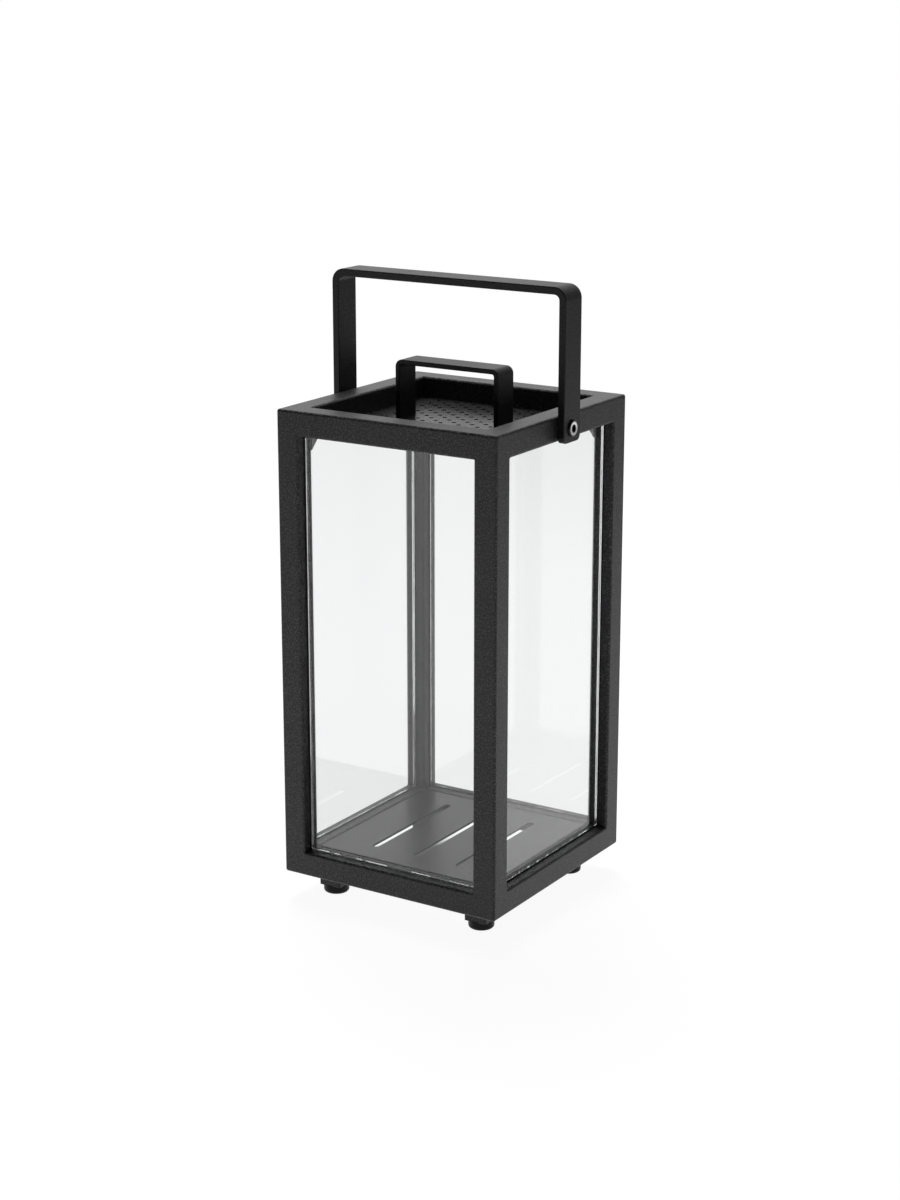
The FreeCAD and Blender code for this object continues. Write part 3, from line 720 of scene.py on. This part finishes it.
# Painted shade on the ground under the lantern. Each range goes from the shade to open ground.
# They were placed by how the slots of the floor plate look in the photograph, and follow from
# no lamp.
UNDER_GLOW = 0.08            # what is left of the white under the middle of the lantern
OPEN_REAR = (0.110, 0.136)   # of y - x
OPEN_RIGHT = (0.040, 0.066)  # of x
OPEN_FRONT = (-0.015, -0.045)        # of y
OPEN_BEHIND, BEHIND_SLOPE = (0.095, 0.110), 0.633    # of x + slope * y
OPEN_ROUND = (0.075, 0.099)  # of the larger of the two


def seen_directly(tree):
    """The light path, and one for the camera and for what looks through glass."""
    path = add(tree, "ShaderNodeLightPath")
    return path, maths(tree, "MAXIMUM", path.outputs["Is Camera Ray"],
                       path.outputs["Is Transmission Ray"])


def make_world():
    """White to the camera and through glass. To mirrors and as a lamp it is bright towards
    the back left and falls away to the front right."""
    world = bpy.data.worlds.new("studio")
    world.use_nodes = True
    tree = world.node_tree
    tree.nodes.clear()
    path, direct = seen_directly(tree)
    coordinate = add(tree, "ShaderNodeTexCoord")
    facing = add(tree, "ShaderNodeVectorMath", {0: coordinate.outputs["Generated"]},
                 operation="DOT_PRODUCT")
    facing.inputs[1].default_value = LIT_FROM
    mirrored = remap(tree, facing.outputs["Value"], *MIRROR_RISE, DARK_SIDE, 1.0)
    apart = add(tree, "ShaderNodeSeparateXYZ", {"Vector": coordinate.outputs["Generated"]})
    mirrored = maths(tree, "MAXIMUM", mirrored,
                     remap(tree, apart.outputs["Z"], *OVERHEAD_RISE, 0.0, OVERHEAD))
    lamp = remap(tree, facing.outputs["Value"], *LAMP_RISE, FAINT, FILL)
    glossy = add(tree, "ShaderNodeMix", {"Factor": path.outputs["Is Glossy Ray"], "A": lamp,
                                         "B": mirrored}, data_type="FLOAT")
    strength = add(tree, "ShaderNodeMix", {"Factor": direct, "A": glossy.outputs["Result"]},
                   data_type="FLOAT")
    strength.inputs["B"].default_value = 1.0
    background = add(tree, "ShaderNodeBackground", {"Strength": strength.outputs["Result"]})
    background.inputs["Color"].default_value = (1.0, 1.0, 1.0, 1.0)
    add(tree, "ShaderNodeOutputWorld", {"Surface": background.outputs["Background"]})
    bpy.context.scene.world = world


def make_floor():
    """A pale plane under the feet. The camera sees it white, with a faint shadow round the
    lantern and the painted shade under it."""
    mesh = bpy.data.meshes.new("studio_floor")
    half = FLOOR_REACH
    mesh.from_pydata([(-half, -half, 0), (half, -half, 0), (half, half, 0), (-half, half, 0)],
                     [], [(0, 1, 2, 3)])
    floor = bpy.data.objects.new("studio_floor", mesh)
    bpy.context.scene.collection.objects.link(floor)
    material, tree, output = new_material("studio_floor")
    path, direct = seen_directly(tree)
    seen = maths(tree, "MAXIMUM", direct, path.outputs["Is Glossy Ray"])
    apart = add(tree, "ShaderNodeSeparateXYZ", {"Vector": place(tree)})
    x, y = apart.outputs["X"], apart.outputs["Y"]
    rear = remap(tree, maths(tree, "SUBTRACT", y, x), *OPEN_REAR)
    right = remap(tree, x, *OPEN_RIGHT)
    front = remap(tree, y, *OPEN_FRONT)
    behind = remap(tree, maths(tree, "ADD", x, maths(tree, "MULTIPLY", y, BEHIND_SLOPE)),
                   *OPEN_BEHIND)
    outside = remap(tree, larger_side(tree, x, y), *OPEN_ROUND, UNDER_GLOW, 1.0)
    open_floor = maths(tree, "MAXIMUM", maths(tree, "MAXIMUM", rear, behind),
                       maths(tree, "MAXIMUM", right, front))
    open_floor = maths(tree, "MAXIMUM", open_floor, outside)
    plain = add(tree, "ShaderNodeBsdfDiffuse")
    plain.inputs["Color"].default_value = (FLOOR_GREY, FLOOR_GREY, FLOOR_GREY, 1.0)
    radius = far_from_axis(tree, x, y)
    white = remap(tree, radius, *WHITE_REACH, FLOOR_GLOW, FAR_WHITE)
    far_off = remap(tree, radius, *GLOW_REACH, 1.0, FAR_GLOW)
    far_off = maths(tree, "MAXIMUM", far_off, remap(tree, y, *FRONT_REACH, 0.0, FRONT_GLOW))
    mirrored = maths(tree, "SUBTRACT", seen, direct)
    looked_at = add(tree, "ShaderNodeMix", {"Factor": mirrored, "A": white, "B": far_off},
                    data_type="FLOAT")
    glow = add(tree, "ShaderNodeEmission",
               {"Strength": maths(tree, "MULTIPLY", open_floor, looked_at.outputs["Result"])})
    shade = add(tree, "ShaderNodeBsdfDiffuse")
    shade.inputs["Color"].default_value = (SHADE_GREY, SHADE_GREY, SHADE_GREY, 1.0)
    both = add(tree, "ShaderNodeAddShader", {0: glow.outputs["Emission"],
                                             1: shade.outputs["BSDF"]})
    mix = add(tree, "ShaderNodeMixShader", {0: seen, 1: plain.outputs["BSDF"],
                                            2: both.outputs["Shader"]})
    tree.links.new(mix.outputs["Shader"], output.inputs["Surface"])
    mesh.materials.append(material)


def softbox(name, location, aim, size, power):
    """A soft lamp turned towards a point. The camera and mirrors don't see it."""
    data = bpy.data.lights.new(name, "AREA")
    data.shape = "RECTANGLE"
    data.size = size
    data.size_y = size
    data.energy = power
    lamp = bpy.data.objects.new(name, data)
    lamp.location = location
    towards = np.array(aim) - np.array(location)
    flat = math.hypot(towards[0], towards[1])
    lamp.rotation_euler = (math.pi / 2 + math.atan2(towards[2], flat), 0.0,
                           math.atan2(-towards[0], towards[1]))
    lamp.visible_camera = False
    lamp.visible_glossy = False
    lamp.visible_transmission = False
    bpy.context.scene.collection.objects.link(lamp)


make_world()
make_floor()
softbox("overhead", location=(-0.50, 0.55, 1.6), aim=(0.0, 0.0, 0.3), size=1.0, power=58.0)

scene = bpy.context.scene
scene.view_settings.view_transform = "Standard"
